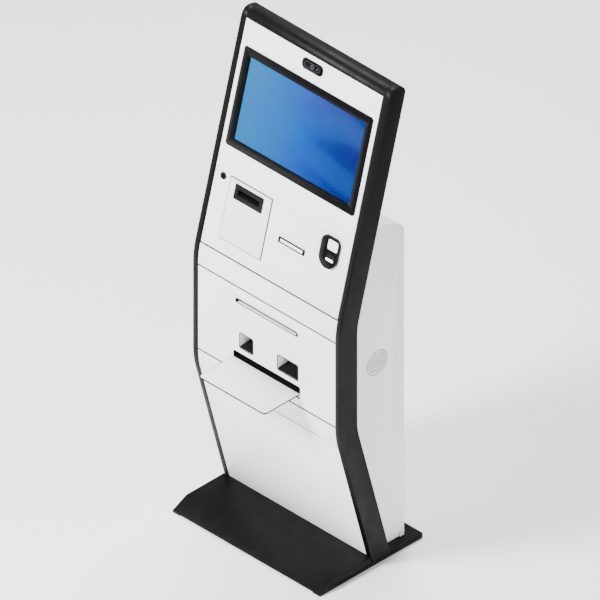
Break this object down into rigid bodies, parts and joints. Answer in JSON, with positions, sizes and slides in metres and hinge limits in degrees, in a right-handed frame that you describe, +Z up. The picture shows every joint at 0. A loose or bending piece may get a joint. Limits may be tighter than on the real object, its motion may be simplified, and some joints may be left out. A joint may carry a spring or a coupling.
{
  "type": "self-service cash kiosk",
  "caption": "Free-standing touch-screen cash kiosk: bent hoop frame, hinged screen door, banknote mouth, card slot, oval reader, pick-up windows, sheet tray and rear service door.",
  "frame": {"origin": "on the floor at the middle of the base's footprint, under the middle floor pad", "axes": "+X to the right in the front view, +Y from the front to the back, +Z up"},
  "size_m": [0.61, 0.486, 1.6648],
  "materials": {
    "black_coat": "satin powder coat",
    "white_coat": "satin powder coat",
    "black_plastic": "fine moulded grain",
    "gloss_black": "polished",
    "white_plastic": "satin moulded",
    "pad_rubber": "matt",
    "zinc_steel": "zinc plated",
    "screen_glass": "clear, anti-glare",
    "screen_picture": "lit panel",
    "dark_unit": "moulded housing",
    "grey_unit": "moulded housing",
    "window_clear": "translucent lens",
    "light_bar": "lit diffuser",
    "bright_steel": "machined",
    "paper_roll": "wound thermal paper"
  },
  "bodies": {
    "kiosk": {"base_plate": "black_coat", "toe_cover": "black_coat", "base_pads": "pad_rubber", "left_cheek": "black_coat", "right_cheek": "black_coat", "top_member": "black_coat", "middle_fascia": "white_coat", "lower_fascia": "white_coat", "back_cover": "white_coat", "cabinet_shell": "white_coat", "cabinet_screws": "bright_steel", "foot_brackets": "white_coat", "base_bolts": "zinc_steel", "hinge_brackets": "zinc_steel", "hinge_pins": "bright_steel", "document_bezel": "black_plastic", "document_scanner": "dark_unit", "card_pocket": "white_plastic", "receipt_pocket": "white_plastic", "pocket_chutes": "black_plastic", "card_dispenser": "dark_unit", "receipt_printer": "dark_unit", "tray_guide": "white_plastic", "slot_liner": "black_plastic", "sheet_printer": "dark_unit", "printer_stand": "zinc_steel", "banknote_validator": "dark_unit", "note_cassette": "grey_unit", "equipment_shelves": "zinc_steel", "computer": "dark_unit", "power_supply": "grey_unit", "power_inlet": "black_plastic", "speaker_grille": "white_coat", "speaker_driver": "dark_unit"},
    "upper_door": {"upper_fascia": "white_coat", "display_bezel": "gloss_black", "display_glass": "screen_glass", "lcd_panel": "screen_picture", "display_housing": "zinc_steel", "camera_window": "gloss_black", "camera_module": "dark_unit", "lock_body": "black_plastic", "acceptor_plate": "white_plastic", "acceptor_mouth": "black_plastic", "card_bezel": "black_plastic", "card_reader": "dark_unit", "reader_shell": "gloss_black", "reader_window": "window_clear", "reader_light": "light_bar", "door_knuckles": "zinc_steel"},
    "door_lock": {"lock_plug": "gloss_black", "lock_cam": "zinc_steel"},
    "slot_flap": {"document_flap": "white_plastic"},
    "sheet_tray": {"tray": "white_coat"},
    "service_door": {"rear_door": "white_coat", "fan_frame": "black_plastic"},
    "door_handle": {"rear_handle": "black_plastic"},
    "fan": {"fan_rotor": "black_plastic"},
    "sheet_paper": {"sheet_roll": "paper_roll"},
    "receipt_paper": {"receipt_roll": "paper_roll"}
  },
  "joints": [
    {"name": "upper_door_swing", "type": "hinge", "parent": "kiosk", "child": "upper_door", "pos_m": [0.2675, -0.08417, 1.02917], "axis": [0, 0.2588, 0.9659], "range_deg": [0, 100]},
    {"name": "lock_turn", "type": "hinge", "parent": "upper_door", "child": "door_lock", "pos_m": [-0.248, -0.05812, 1.15729], "axis": [0, -0.9659, 0.2588], "range_deg": [0, 90]},
    {"name": "flap_swing", "type": "hinge", "parent": "kiosk", "child": "slot_flap", "pos_m": [0, -0.1185, 0.8138], "axis": [1, 0, 0], "range_deg": [0, 65]},
    {"name": "tray_slide", "type": "slide", "parent": "kiosk", "child": "sheet_tray", "axis": [0, 1, 0], "range_m": [0, 0.14]},
    {"name": "service_door_swing", "type": "hinge", "parent": "kiosk", "child": "service_door", "pos_m": [0.2245, 0.161, 0.5], "axis": [0, 0, -1], "range_deg": [0, 100]},
    {"name": "handle_turn", "type": "hinge", "parent": "service_door", "child": "door_handle", "pos_m": [-0.212, 0.172, 0.56], "axis": [0, -1, 0], "range_deg": [0, 90]},
    {"name": "fan_spin", "type": "hinge", "parent": "service_door", "child": "fan", "pos_m": [0, 0.152, 0.955], "axis": [0, 1, 0], "continuous": true},
    {"name": "sheet_roll_spin", "type": "hinge", "parent": "kiosk", "child": "sheet_paper", "pos_m": [0, 0.11, 0.502], "axis": [1, 0, 0], "continuous": true},
    {"name": "receipt_roll_spin", "type": "hinge", "parent": "kiosk", "child": "receipt_paper", "pos_m": [0.0872, 0.086, 0.73], "axis": [1, 0, 0], "continuous": true}
  ]
}
